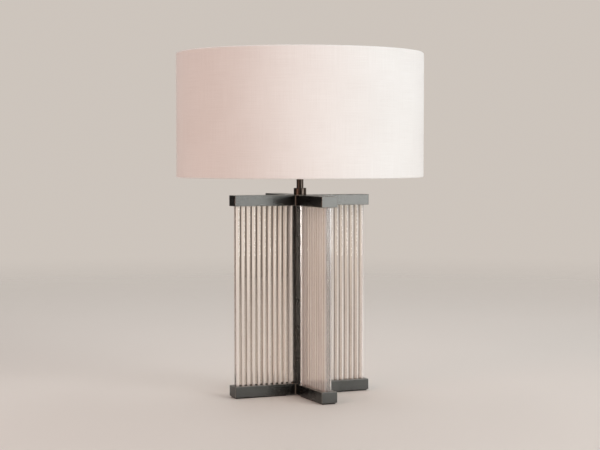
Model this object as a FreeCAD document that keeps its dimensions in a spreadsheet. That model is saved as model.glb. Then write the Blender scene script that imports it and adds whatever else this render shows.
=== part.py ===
# Column table lamp: two lapped metal crosses, a square post and four fluted glass panels between them,
# and a drum shade carried by a harp. Millimetres, +Z up, +Y to the back, origin on the surface that it
# stands on, under the middle of the post.

import FreeCAD, Part
import math
import os
import re

import Sketcher
from FreeCAD import Placement, Rotation, Vector

doc = FreeCAD.newDocument("ColumnTableLamp")

# Driving dimensions. Angles are in degrees, and flute_count is a number of flutes.
sizes = {
    # crosses
    "bar_span": 299.0,
    "bar_width": 34.0,
    "bar_height": 22.0,
    "bar_round": 0.8,
    "braze_leg": 2.0,
    "felt_thick": 2.5,
    "felt_margin": 2.5,
    "felt_start": 36.0,
    # underside of the base
    "cavity_clear": 3.0,
    "seat_thick": 2.0,
    "plate_length": 62.0,
    "plate_lap": 0.5,
    "plate_thick": 1.5,
    "plate_round": 2.0,
    "plate_clear": 0.2,
    "plate_screw_edge": 6.0,
    "plate_screw_offset": 9.0,
    "screw_radius": 1.5,
    "screw_length": 7.0,
    "screw_head_radius": 2.8,
    "screw_head_thick": 1.4,
    "screw_clear": 0.2,
    "wire_bore": 7.0,
    "wire_cover": 0.5,
    "bushing_bore": 6.5,
    "bushing_wall": 1.25,
    "bushing_length": 12.0,
    "bushing_flange": 1.7,
    "bushing_flange_thick": 2.0,
    # column
    "column_height": 366.5,
    "post_wall": 3.0,
    "locator_thick": 6.0,
    "locator_clear": 0.15,
    "glass_thick": 16.5,
    "glass_inset": 6.0,
    "glass_gap": 0.5,
    "flute_count": 11,
    "flute_rise": 3.0,
    "pocket_depth": 3.0,
    "pocket_clear": 0.25,
    "cushion_thick": 1.0,
    "cushion_margin": 0.75,
    "pipe_outer": 10.2,
    "pipe_bore": 7.0,
    "pipe_clear": 0.2,
    "pipe_tail": 1.4,
    "tail_gap": 0.6,
    "washer_rim": 5.9,
    "washer_thick": 1.5,
    "nut_wall": 1.9,
    "nut_thick": 4.0,
    "well_clear": 1.0,
    "well_cover": 1.5,
    "collar_lap": 1.0,
    "collar_height": 14.0,
    "collar_round": 0.8,
    "neck_wall": 1.85,
    "neck_height": 28.0,
    # harp
    "strap_thick": 1.6,
    "strap_rim": 1.7,
    "strap_clear": 0.5,
    "strap_run": 8.0,
    "strap_rise": 9.4,
    "tab_width": 5.0,
    "tab_height": 12.0,
    "wire_radius": 1.8,
    "leg_gap": 0.3,
    "leg_height": 31.0,
    "harp_half_width": 52.0,
    "harp_flare": 40.0,
    "foot_bend": 20.0,
    "waist_bend": 40.0,
    "shoulder_bend": 36.0,
    "ferrule_clear": 0.2,
    "ferrule_wall": 0.8,
    "ferrule_height": 12.0,
    "ferrule_rest": 0.3,
    "boss_length": 18.0,
    "boss_wall": 1.6,
    "boss_radius": 5.0,
    "boss_rise": 8.0,
    "stud_pin_radius": 2.0,
    "stud_pin_length": 5.0,
    "running_fit": 0.05,
    "stud_flange_radius": 7.0,
    "stud_flange_thick": 2.0,
    "stud_radius": 3.1,
    "stud_length": 12.0,
    "thrust_gap": 0.1,
    # socket and switch, from the screw shell outwards
    "thread_clear": 0.3,
    "thread_wall": 0.5,
    "thread_height": 24.0,
    "core_clear": 0.6,
    "liner_wall": 0.6,
    "liner_clear": 0.25,
    "socket_wall": 0.8,
    "lap_clear": 0.15,
    "cap_height": 18.0,
    "cap_neck_wall": 2.9,
    "cap_neck_height": 4.0,
    "shell_height": 42.0,
    "shell_lap": 4.0,
    "core_rise": 7.5,
    "core_waist": 10.0,
    "contact_radius": 4.0,
    "contact_thick": 2.5,
    "terminal_head_radius": 2.2,
    "terminal_head": 1.6,
    "terminal_shank_radius": 1.2,
    "terminal_shank": 4.0,
    "shaft_radius": 2.0,
    "shaft_seat": 9.0,
    "shaft_hole_clear": 1.0,
    "knob_gap": 3.0,
    "knob_radius": 5.5,
    "knob_length": 13.0,
    "knob_cover": 11.0,
    "knob_round": 1.0,
    # bulb
    "bulb_cap_radius": 13.0,
    "bulb_cap_wall": 0.4,
    "bulb_cap_height": 22.0,
    "insulator_height": 2.0,
    "bulb_tip_radius": 4.6,
    "bulb_tip_thick": 1.2,
    "bulb_tip_gap": 0.3,
    "bulb_seat": 5.0,
    "bulb_shoulder": 0.6,
    "bulb_neck_rise": 5.0,
    "bulb_radius": 30.0,
    "bulb_rise": 54.0,
    "bulb_wall": 0.8,
    # shade
    "shade_radius": 254.0,
    "shade_height": 254.0,
    "shade_gap": 36.0,
    "shade_drop": 25.0,
    "cover_thick": 0.8,
    "backing_thick": 0.4,
    "hem_slack": 0.1,
    "hem_depth": 10.0,
    "ring_wire": 1.5,
    "arm_wire": 1.5,
    "arm_bend": 8.0,
    "arm_start": 9.5,
    "arm_count": 3,
    "hub_radius": 13.0,
    "hub_thick": 2.0,
    "hub_clear": 0.2,
    "finial_base_radius": 6.3,
    "finial_base": 3.0,
    "finial_waist": 4.3,
    "finial_ball": 8.0,
    "finial_height": 21.0,
    "finial_tip_gap": 1.0,
}

# Sizes and levels that follow from the ones above.
derived = {
    "half_span": "bar_span / 2",
    "half_width": "bar_width / 2",
    "base_top": "felt_thick + bar_height",
    "cross_floor": "base_top + column_height",
    "cross_top": "cross_floor + bar_height",
    "pipe_radius": "pipe_outer / 2",
    "pipe_hole": "pipe_radius + pipe_clear",
    "washer_radius": "pipe_radius + washer_rim",
    "nut_flats": "pipe_outer + 2 * nut_wall",
    "cavity_radius": "washer_radius + cavity_clear",
    "cavity_depth": "plate_thick + tail_gap + pipe_tail + nut_thick + washer_thick",
    "base_lap": "cavity_depth + seat_thick",
    "top_lap": "bar_height / 2",
    "plate_half": "plate_length / 2",
    "plate_side": "cavity_radius + plate_lap",
    "plate_screw_place": "plate_half - plate_screw_edge",
    "wire_rise": "base_lap - wire_cover - wire_bore / 2",
    "wire_level": "felt_thick + wire_rise",
    "bushing_radius": "bushing_bore / 2 + bushing_wall",
    "glass_in": "half_width + glass_gap",
    "glass_out": "half_span - glass_inset",
    "glass_core": "glass_thick / 2 - flute_rise",
    "flute_pitch": "(glass_out - glass_in) / flute_count",
    "flute_radius": "(flute_pitch ^ 2 / 4 + flute_rise ^ 2) / (2 * flute_rise)",
    "glass_floor": "base_top - pocket_depth + cushion_thick",
    "glass_height": "column_height + 2 * (pocket_depth - cushion_thick)",
    "glass_top": "glass_floor + glass_height",
    "pocket_in": "glass_in - pocket_clear",
    "pocket_out": "glass_out + pocket_clear",
    "pocket_side": "glass_thick / 2 + pocket_clear",
    "lower_washer_floor": "felt_thick + cavity_depth - washer_thick",
    "lower_nut_floor": "lower_washer_floor - nut_thick",
    "pipe_floor": "lower_nut_floor - pipe_tail",
    "well_radius": "washer_radius + well_clear",
    "well_depth": "washer_thick + nut_thick + well_cover",
    "well_floor": "cross_top - well_depth",
    "upper_nut_floor": "well_floor + washer_thick",
    "collar_radius": "well_radius + collar_lap",
    "collar_top": "cross_top + collar_height",
    "neck_radius": "pipe_hole + neck_wall",
    "neck_top": "collar_top + neck_height",
    "saddle_top": "neck_top + strap_thick",
    "strap_width": "2 * (pipe_hole + strap_rim)",
    # socket
    "thread_inner": "bulb_cap_radius + thread_clear",
    "thread_outer": "thread_inner + thread_wall",
    "liner_inner": "thread_outer + core_clear",
    "liner_outer": "liner_inner + liner_wall",
    "shell_inner": "liner_outer + liner_clear",
    "shell_outer": "shell_inner + socket_wall",
    "cap_neck_radius": "pipe_radius + cap_neck_wall",
    "cap_inner": "shell_outer + lap_clear",
    "cap_radius": "cap_inner + socket_wall",
    "cap_bell": "cap_neck_height + socket_wall",
    "cap_top": "saddle_top + cap_height",
    "shell_floor": "cap_top - shell_lap",
    "core_floor": "saddle_top + cap_bell + core_clear",
    "core_top": "cap_top + core_rise",
    "pipe_top": "saddle_top + cap_bell",
    "terminal_level": "(core_floor + shell_floor) / 2",
    "shaft_level": "(cap_top + core_top) / 2",
    "knob_floor": "cap_radius + knob_gap",
    "knob_top": "knob_floor + knob_length",
    "shaft_end": "knob_floor + knob_cover",
    # bulb
    "bulb_floor": "core_top + contact_thick + bulb_tip_gap",
    "insulator_floor": "bulb_floor + bulb_tip_thick",
    "bulb_cap_floor": "insulator_floor + insulator_height",
    "bulb_cap_top": "bulb_cap_floor + bulb_cap_height",
    "bulb_cap_inner": "bulb_cap_radius - bulb_cap_wall",
    "bulb_neck_radius": "bulb_cap_radius + bulb_shoulder",
    "bulb_flare_z": "bulb_cap_top + bulb_neck_rise",
    "bulb_centre": "bulb_cap_top + bulb_rise",
    "bulb_drop": "bulb_centre - bulb_flare_z",
    "bulb_flare": "(bulb_neck_radius ^ 2 + bulb_drop ^ 2 - bulb_radius ^ 2)"
                  " / (2 * (bulb_radius - bulb_neck_radius))",
    "bulb_reach": "bulb_radius + bulb_flare",
    "bulb_meet": "bulb_radius / bulb_reach",
    "bulb_meet_inside": "(bulb_radius - bulb_wall) / bulb_reach",
    # shade
    "shade_floor": "cross_top + shade_gap",
    "shade_top": "shade_floor + shade_height",
    "roll": "cover_thick + backing_thick + hem_slack + ring_wire",
    "roll_inner": "roll - cover_thick",
    "ring_radius": "shade_radius - roll",
    "ring_top": "shade_top - roll",
    "ring_low": "shade_floor + roll",
    "hub_top": "shade_top - shade_drop",
    "hub_floor": "hub_top - hub_thick",
    "arm_level": "hub_floor + hub_thick / 2",
    "finial_neck": "finial_height - finial_ball - sqrt(finial_ball ^ 2 - finial_waist ^ 2)",
    # harp
    "shelf_top": "saddle_top + strap_rise",
    "strap_flat": "cap_radius + strap_clear",
    "tab_inner": "strap_flat + strap_run - strap_thick / 2",
    "tab_outer": "tab_inner + strap_thick",
    "strap_foot": "tab_inner - strap_thick",
    "leg_place": "tab_outer + leg_gap + wire_radius",
    "shelf_out": "leg_place + wire_radius + leg_gap",
    "ferrule_place": "(tab_inner + leg_place + wire_radius) / 2",
    "ferrule_bore": "sqrt((ferrule_place - tab_inner) ^ 2 + tab_width ^ 2 / 4) + ferrule_clear",
    "ferrule_floor": "shelf_top + ferrule_rest",
    "boss_top": "hub_floor - stud_flange_thick - thrust_gap",
    "harp_top": "boss_top - boss_rise",
    "leg_top": "shelf_top + leg_height",
    "foot_x": "leg_place + foot_bend * (1 - cos(harp_flare))",
    "foot_z": "leg_top + foot_bend * sin(harp_flare)",
    "waist_x": "harp_half_width - waist_bend * (1 - cos(harp_flare))",
    "waist_z": "foot_z + (waist_x - foot_x) / tan(harp_flare)",
    "waist_top": "waist_z + waist_bend * sin(harp_flare)",
    "shoulder_z": "harp_top - shoulder_bend",
    "shoulder_x": "harp_half_width - shoulder_bend",
    "pin_floor": "boss_top - stud_pin_length",
    "stud_top": "hub_top + stud_length",
}

arms = {"right": 0, "back": 90, "left": 180, "front": 270}

sheet = doc.addObject("Spreadsheet::Sheet", "dim")
nodes = {}


def fillSheet():
    rows = [(name, str(value)) for name, value in sizes.items()]
    rows += [(name, "=" + formula) for name, formula in derived.items()]
    for row, (name, content) in enumerate(rows, start=1):
        sheet.set(f"A{row}", name)
        sheet.set(f"B{row}", content)
        sheet.setAlias(f"B{row}", name)
    doc.recompute()


# The formula with each size's name written as a cell of the sheet.
def bound(formula):
    def cell(word):
        name = word.group()
        return f"dim.{name}" if name in sizes or name in derived else name
    return re.sub(r"[a-z]\w*", cell, formula)


def number(formula):
    return float(sheet.evalExpression(bound(formula)))


def keep(label, item):
    item.Label = label
    nodes[label] = item
    return item


def newBody(label, floor="0", turn=0.0):
    body = doc.addObject("PartDesign::Body", label)
    body.Placement = Placement(Vector(), Rotation(Vector(0, 0, 1), turn))
    if floor != "0":
        body.setExpression("Placement.Base.z", bound(floor))
    return keep(label, body)


def newSketch(body, role="XY_Plane", lift=None):
    sketch = body.newObject("Sketcher::SketchObject", "outline")
    plane = next(item for item in body.Origin.OriginFeatures if item.Role == role)
    sketch.AttachmentSupport = [(plane, "")]
    sketch.MapMode = "FlatFace"
    if lift:
        sketch.setExpression("AttachmentOffset.Base.z", bound(lift))
    return sketch


def sizeOf(sketch, constraint, formula):
    index = sketch.addConstraint(constraint)
    sketch.setExpression(f"Constraints[{index}]", bound(formula))


def pinPoint(sketch, item, end, across, up):
    for kind, axis, formula in (("DistanceX", -2, across), ("DistanceY", -1, up)):
        if formula == "0":
            sketch.addConstraint(Sketcher.Constraint("PointOnObject", item, end, axis))
        else:
            sizeOf(sketch, Sketcher.Constraint(kind, -1, 1, item, end, number(formula)), formula)


# The shorter arc from first to last, with its centre to the left or the right of the way.
def arcBetween(first, last, radius, side):
    chord = last - first
    height = math.sqrt(max(radius ** 2 - chord.Length ** 2 / 4, 0.0))
    normal = Vector(-chord.y, chord.x, 0).normalize()
    centre = (first + last) / 2 + normal * (height if side == "left" else -height)
    start, stop = (first, last) if side == "left" else (last, first)
    angles = [math.atan2(point.y - centre.y, point.x - centre.x) for point in (start, stop)]
    if angles[1] <= angles[0]:
        angles[1] += 2 * math.pi
    return Part.ArcOfCircle(Part.Circle(centre, Vector(0, 0, 1), radius), *angles)


# Lines and arcs through points (across, up). arcs gives a stretch's radius and its centre's side.
def drawOutline(sketch, points, arcs=None, closed=True):
    arcs = arcs or {}
    places = [Vector(number(across), number(up), 0) for across, up in points]
    stretches = len(points) if closed else len(points) - 1
    ends = []
    for step in range(stretches):
        first, last = places[step], places[(step + 1) % len(places)]
        if step in arcs:
            radius, side = arcs[step]
            item = sketch.addGeometry(arcBetween(first, last, number(radius), side), False)
            ends.append((item, 1, 2) if side == "left" else (item, 2, 1))
        else:
            item = sketch.addGeometry(Part.LineSegment(first, last), False)
            ends.append((item, 1, 2))
    for step in range(stretches if closed else stretches - 1):
        item, _, tail = ends[step]
        follower, head, _ = ends[(step + 1) % stretches]
        sketch.addConstraint(Sketcher.Constraint("Coincident", item, tail, follower, head))
    for step, (item, head, _) in enumerate(ends):
        pinPoint(sketch, item, head, *points[step])
        if step in arcs:
            radius = arcs[step][0]
            sizeOf(sketch, Sketcher.Constraint("Radius", item, number(radius)), radius)
    if not closed:
        item, _, tail = ends[-1]
        pinPoint(sketch, item, tail, *points[-1])
    return sketch


def drawCircle(sketch, radius, across="0", up="0"):
    centre = Vector(number(across), number(up), 0)
    item = sketch.addGeometry(Part.Circle(centre, Vector(0, 0, 1), number(radius)), False)
    pinPoint(sketch, item, 3, across, up)
    sizeOf(sketch, Sketcher.Constraint("Radius", item, number(radius)), radius)
    return sketch


def drawBox(sketch, left, right, low, high):
    return drawOutline(sketch, [(left, low), (right, low), (right, high), (left, high)])


def pad(body, sketch, length, middle=False):
    feature = body.newObject("PartDesign::Pad", "pad")
    feature.Profile = sketch
    feature.SideType = "Symmetric" if middle else "One side"
    feature.setExpression("Length", bound(length))
    doc.recompute()
    return feature


# A pocket against the sketch's normal, or along it when reversed, or right through without a depth.
def cut(body, sketch, depth=None, reverse=False):
    before = body.Shape.Volume
    feature = body.newObject("PartDesign::Pocket", "pocket")
    feature.Profile = sketch
    feature.Reversed = reverse
    if depth:
        feature.setExpression("Length", bound(depth))
    else:
        feature.SideType = "Symmetric"
        feature.Type = "ThroughAll"
    doc.recompute()
    if body.Shape.Volume > before - 1e-3:
        raise RuntimeError(f"{body.Label}: a pocket cuts nothing")


# A full turn of a closed outline of the XZ plane about one of the sketch's axes.
def spin(body, points, arcs=None, about="V_Axis"):
    sketch = drawOutline(newSketch(body, "XZ_Plane"), points, arcs)
    feature = body.newObject("PartDesign::Revolution", "revolution")
    feature.Profile = sketch
    feature.ReferenceAxis = (sketch, [about])
    feature.Angle = 360
    doc.recompute()


def roundEdges(body, feature, radius, chosen):
    edges = [f"Edge{index}" for index, edge in enumerate(feature.Shape.Edges, start=1) if chosen(edge)]
    fillet = body.newObject("PartDesign::Fillet", "rounding")
    fillet.Base = (feature, edges)
    fillet.setExpression("Radius", bound(radius))
    doc.recompute()


def upright(edge):
    return abs(edge.tangentAt(edge.FirstParameter).z) > 0.99


def ring(label, inner, outer, height, floor):
    body = newBody(label, floor)
    pad(body, drawCircle(drawCircle(newSketch(body), outer), inner), height)
    return body


def group(label, items):
    compound = doc.addObject("Part::Compound", label)
    compound.Links = items
    return keep(label, compound)


# A cylinder along Z, or along X when lying.
def rod(name, radius, length, x="0", y="0", z="0", lying=False):
    item = doc.addObject("Part::Cylinder", name)
    item.Placement = Placement(Vector(), Rotation(Vector(0, 1, 0), 90 if lying else 0))
    item.setExpression("Radius", bound(radius))
    item.setExpression("Height", bound(length))
    item.setExpression("Placement.Base.x", bound(x))
    item.setExpression("Placement.Base.y", bound(y))
    item.setExpression("Placement.Base.z", bound(z))
    return item


def combine(kind, name, base, tool):
    item = doc.addObject(kind, name)
    item.Base = base
    item.Tool = tool
    return item


# One bar along its own X, with its lap, pipe hole and two glass pockets. lap is the joint's height in it.
def crossBar(label, floor, turn, lap, lap_above, pockets_above):
    body = newBody(label, floor, turn)
    outline = drawBox(newSketch(body), "-half_span", "half_span", "-half_width", "half_width")
    roundEdges(body, pad(body, outline, "bar_height"), "bar_round", lambda edge: True)

    crossing = newSketch(body, lift="bar_height" if lap_above else None)
    drawBox(crossing, "-half_width", "half_width", "-bar_width", "bar_width")
    cut(body, crossing, f"bar_height - {lap}" if lap_above else lap, reverse=not lap_above)

    # where lap and pockets are on one side, the pockets run into the lap
    inner = "half_width - bar_round" if lap_above == pockets_above else "pocket_in"
    for sign in ("", "-"):
        pocket = newSketch(body, lift="bar_height" if pockets_above else None)
        drawBox(pocket, f"{sign}({inner})", f"{sign}pocket_out", "-pocket_side", "pocket_side")
        cut(body, pocket, "pocket_depth", reverse=not pockets_above)

    cut(body, drawCircle(newSketch(body), "pipe_hole"))
    return body


# A concave bead in each inner corner of a cross, between the bars' rounded edges.
def brazeFillets(label, floor):
    beads = []
    for turn in arms.values():
        outline = doc.addObject("Sketcher::SketchObject", f"{label}_outline")
        reach = "half_width + braze_leg"
        corner = [("half_width", "half_width"), (reach, "half_width"), ("half_width", reach)]
        drawOutline(outline, corner, {1: ("braze_leg", "right")})
        outline.Placement = Placement(Vector(), Rotation(Vector(0, 0, 1), turn))
        outline.setExpression("Placement.Base.z", bound(f"{floor} + bar_round"))
        bead = doc.addObject("Part::Extrusion", f"{label}_bead")
        bead.Base = outline
        bead.DirMode = "Normal"
        bead.Solid = True
        bead.setExpression("LengthFwd", bound("bar_height - 2 * bar_round"))
        beads.append(bead)
    group(label, beads)


def baseCross():
    crossBar("base_bar_left_right", "felt_thick", 0, "base_lap", lap_above=False, pockets_above=True)
    lower = crossBar("base_bar_front_back", "felt_thick", 90, "base_lap", lap_above=True, pockets_above=True)
    brazeFillets("base_braze_fillets", "felt_thick")

    # nut cavity and cover recess in the underside
    cut(lower, drawCircle(newSketch(lower), "cavity_radius"), "cavity_depth", reverse=True)
    recess = drawBox(newSketch(lower), "-plate_half - plate_clear", "plate_half + plate_clear",
                     "-plate_side - plate_clear", "plate_side + plate_clear")
    cut(lower, recess, "plate_thick", reverse=True)
    for along, aside in screwPlaces():
        tapped = drawCircle(newSketch(lower, lift="plate_thick"), "screw_radius", along, aside)
        cut(lower, tapped, "screw_length - plate_thick", reverse=True)

    # the cord's way from the cavity out of the back arm, and the bushing's seat at its end
    way = newSketch(lower, "YZ_Plane", "cavity_radius - wire_bore / 2")
    cut(lower, drawCircle(way, "wire_bore / 2", "0", "wire_rise"), "half_span", reverse=True)
    seat = newSketch(lower, "YZ_Plane", "half_span - bushing_length")
    cut(lower, drawCircle(seat, "bushing_radius", "0", "wire_rise"), "2 * bushing_length", reverse=True)


def screwPlaces():
    return [(f"{along}plate_screw_place", f"{aside}plate_screw_offset")
            for along in ("", "-") for aside in ("", "-")]


def baseCover():
    plate = newBody("base_cover_plate", "felt_thick", 90)
    outline = drawBox(newSketch(plate), "-plate_half", "plate_half", "-plate_side", "plate_side")
    roundEdges(plate, pad(plate, outline, "plate_thick"), "plate_round", upright)
    screws = []
    for along, aside in screwPlaces():
        cut(plate, drawCircle(newSketch(plate), "screw_radius + screw_clear", along, aside))
        shank = rod("cover_screw_shank", "screw_radius", "screw_length", aside, along, "felt_thick")
        head = rod("cover_screw_head", "screw_head_radius", "screw_head_thick", aside, along,
                   "felt_thick - screw_head_thick")
        screws.append(combine("Part::Fuse", "cover_screw", shank, head))
    group("base_cover_screws", screws)


def feltPad(side, turn):
    body = newBody(f"felt_pad_{side}", turn=turn)
    outline = drawBox(newSketch(body), "felt_start", "half_span - felt_margin",
                      "-half_width + felt_margin", "half_width - felt_margin")
    roundEdges(body, pad(body, outline, "felt_thick"), "felt_margin", upright)


# Flanged bushing pressed into the end of the back arm, for the mains cord.
def cordBushing():
    body = newBody("cord_bushing", "wire_level", 90)
    inner_end, outer_end = "half_span - bushing_length", "half_span + bushing_flange_thick"
    flange = "bushing_radius + bushing_flange"
    spin(body, [(inner_end, "bushing_bore / 2"), (outer_end, "bushing_bore / 2"), (outer_end, flange),
                ("half_span", flange), ("half_span", "bushing_radius"), (inner_end, "bushing_radius")],
         about="H_Axis")


def lockNut(label, floor):
    body = newBody(label, floor)
    corners = [(f"{sign}nut_flats / 2", f"{up} * nut_flats / sqrt(12)")
               for sign, up in (("", -1), ("", 1), ("-", 1), ("-", -1))]
    corners.insert(2, ("0", "nut_flats / sqrt(3)"))
    corners.append(("0", "-nut_flats / sqrt(3)"))
    sketch = drawOutline(newSketch(body), corners)
    pad(body, drawCircle(sketch, "pipe_radius"), "nut_thick")


def post():
    body = newBody("centre_post", "base_top")
    inside = "(half_width - post_wall)"
    walls = drawBox(newSketch(body), "-half_width", "half_width", "-half_width", "half_width")
    drawBox(walls, f"-{inside}", inside, f"-{inside}", inside)
    corner = number("half_width") - 0.01
    roundEdges(body, pad(body, walls, "column_height"), "bar_round",
               lambda edge: upright(edge) and abs(edge.CenterOfMass.x) > corner)

    fit = "(half_width - post_wall - locator_clear)"
    for label, floor in (("post_locator_lower", "base_top"),
                         ("post_locator_upper", "cross_floor - locator_thick")):
        locator = newBody(label, floor)
        square = drawBox(newSketch(locator), f"-{fit}", fit, f"-{fit}", fit)
        pad(locator, drawCircle(square, "pipe_hole"), "locator_thick")


# The hollow threaded pipe runs from below the lower nut to the socket's cap, and clamps the column.
def clampingPipe():
    ring("threaded_pipe", "pipe_bore / 2", "pipe_radius", "pipe_top - pipe_floor", "pipe_floor")
    ring("lower_washer", "pipe_hole", "washer_radius", "washer_thick", "lower_washer_floor")
    lockNut("lower_lock_nut", "lower_nut_floor")
    ring("top_washer", "pipe_hole", "washer_radius", "washer_thick", "well_floor")
    lockNut("top_lock_nut", "upper_nut_floor")


# Solid glass, fluted on both broad faces, with flat ends.
def glassPanel(side, turn):
    body = newBody(f"glass_panel_{side}", "glass_floor", turn)
    flutes = int(sizes["flute_count"])
    near = [(f"glass_in + {step} * flute_pitch", "-glass_core") for step in range(flutes + 1)]
    far = [(across, "glass_core") for across, _ in reversed(near)]
    bends = {step: ("flute_radius", "left") for step in range(2 * flutes + 1) if step != flutes}
    pad(body, drawOutline(newSketch(body), near + far, bends), "glass_height")


# Cork strips, one in each pocket, under or over the glass.
def cushions(label, floor):
    strips = []
    near, low = "(glass_in + cushion_margin)", "(cushion_margin - glass_thick / 2)"
    for turn in arms.values():
        along = round(math.cos(math.radians(turn)))
        across = round(math.sin(math.radians(turn)))
        strip = doc.addObject("Part::Box", f"{label}_strip")
        strip.setExpression("Length", bound("glass_out - glass_in - 2 * cushion_margin"))
        strip.setExpression("Width", bound("glass_thick - 2 * cushion_margin"))
        strip.setExpression("Height", bound("cushion_thick"))
        strip.Placement = Placement(Vector(), Rotation(Vector(0, 0, 1), turn))
        strip.setExpression("Placement.Base.x", bound(f"{along} * {near} - {across} * {low}"))
        strip.setExpression("Placement.Base.y", bound(f"{across} * {near} + {along} * {low}"))
        strip.setExpression("Placement.Base.z", bound(floor))
        strips.append(strip)
    group(label, strips)


def topCross():
    upper = crossBar("top_bar_left_right", "cross_floor", 0, "top_lap", lap_above=False, pockets_above=False)
    crossBar("top_bar_front_back", "cross_floor", 90, "top_lap", lap_above=True, pockets_above=False)
    brazeFillets("top_braze_fillets", "cross_floor")
    cut(upper, drawCircle(newSketch(upper, lift="bar_height"), "well_radius"), "well_depth")


def neck():
    collar = newBody("neck_collar", "cross_top")
    spin(collar, [("pipe_hole", "0"), ("collar_radius", "0"),
                  ("collar_radius", "collar_height - collar_round"),
                  ("collar_radius - collar_round", "collar_height"), ("pipe_hole", "collar_height")],
         {2: ("collar_round", "left")})
    ring("neck_tube", "pipe_hole", "neck_radius", "neck_height", "collar_top")


# Strap over the neck: a flat middle, two rising arms, and a shelf with an upright tab at each end.
def harpSaddle():
    body = newBody("harp_saddle", "neck_top")
    rise = "strap_rise + strap_thick"
    half = [("strap_flat", "0"), ("strap_foot", "strap_rise"), ("shelf_out", "strap_rise"),
            ("shelf_out", rise), ("strap_foot - strap_thick / 2", rise),
            ("strap_flat - strap_thick / 2", "strap_thick")]
    mirrored = [(f"-({across})", up) for across, up in reversed(half)]
    pad(body, drawOutline(newSketch(body, "XZ_Plane"), half + mirrored), "strap_width", middle=True)
    for sign in ("", "-"):
        tab = newSketch(body, lift=rise)
        drawBox(tab, f"{sign}tab_inner", f"{sign}tab_outer", "-tab_width / 2", "tab_width / 2")
        pad(body, tab, "tab_height")
    cut(body, drawCircle(newSketch(body), "pipe_hole"))


def harpLoop():
    body = newBody("harp_loop")
    side = [("leg_place", "shelf_top"), ("leg_place", "leg_top"), ("foot_x", "foot_z"),
            ("waist_x", "waist_z"), ("harp_half_width", "waist_top"), ("harp_half_width", "shoulder_z"),
            ("shoulder_x", "harp_top")]
    other = [(f"-{across}", up) for across, up in reversed(side)]
    bends = {1: ("foot_bend", "right"), 3: ("waist_bend", "left"), 5: ("shoulder_bend", "left"),
             7: ("shoulder_bend", "left"), 9: ("waist_bend", "left"), 11: ("foot_bend", "right")}
    path = drawOutline(newSketch(body, "XZ_Plane"), side + other, bends, closed=False)
    section = drawCircle(newSketch(body, lift="shelf_top"), "wire_radius", "leg_place")
    doc.recompute()
    wire = body.newObject("PartDesign::AdditivePipe", "wire")
    wire.Profile = section
    wire.Spine = (path, [f"Edge{step}" for step in range(1, len(side + other))])
    doc.recompute()


def harpFerrule(side, sign):
    body = newBody(f"harp_ferrule_{side}", "ferrule_floor")
    place = f"{sign}ferrule_place"
    outside = drawCircle(newSketch(body), "ferrule_bore + ferrule_wall", place)
    pad(body, drawCircle(outside, "ferrule_bore", place), "ferrule_height")


# The fitting crimped on the middle of the wire, and the swivel stud that turns in it.
def harpTop():
    barrel = rod("boss_barrel", "wire_radius + boss_wall", "boss_length", "-boss_length / 2", "0",
                 "harp_top", lying=True)
    tower = rod("boss_tower", "boss_radius", "boss_rise", z="harp_top")
    outside = combine("Part::Fuse", "boss_outside", barrel, tower)
    wire_way = rod("boss_wire_way", "wire_radius", "2 * boss_length", "-boss_length", "0", "harp_top",
                   lying=True)
    seat = rod("boss_pin_seat", "stud_pin_radius + running_fit", "boss_rise", z="pin_floor - thrust_gap")
    crimped = combine("Part::Cut", "boss_on_wire", outside, wire_way)
    keep("harp_top_boss", combine("Part::Cut", "harp_top_boss", crimped, seat))

    stud = newBody("harp_stud")
    seat_level = "boss_top + thrust_gap"
    spin(stud, [("0", "pin_floor"), ("stud_pin_radius", "pin_floor"), ("stud_pin_radius", seat_level),
                ("stud_flange_radius", seat_level), ("stud_flange_radius", "hub_floor"),
                ("stud_radius", "hub_floor"), ("stud_radius", "stud_top"), ("0", "stud_top")])


def finial():
    body = newBody("finial", "hub_top")
    bore, depth = "stud_radius + running_fit", "stud_length + finial_tip_gap"
    spin(body, [(bore, "0"), ("finial_base_radius", "0"), ("finial_base_radius", "finial_base"),
                ("finial_waist", "finial_base"), ("finial_waist", "finial_neck"),
                ("finial_ball", "finial_height - finial_ball"), ("0", "finial_height"), ("0", depth),
                (bore, depth)],
         {4: ("finial_ball", "left"), 5: ("finial_ball", "left")})


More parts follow.
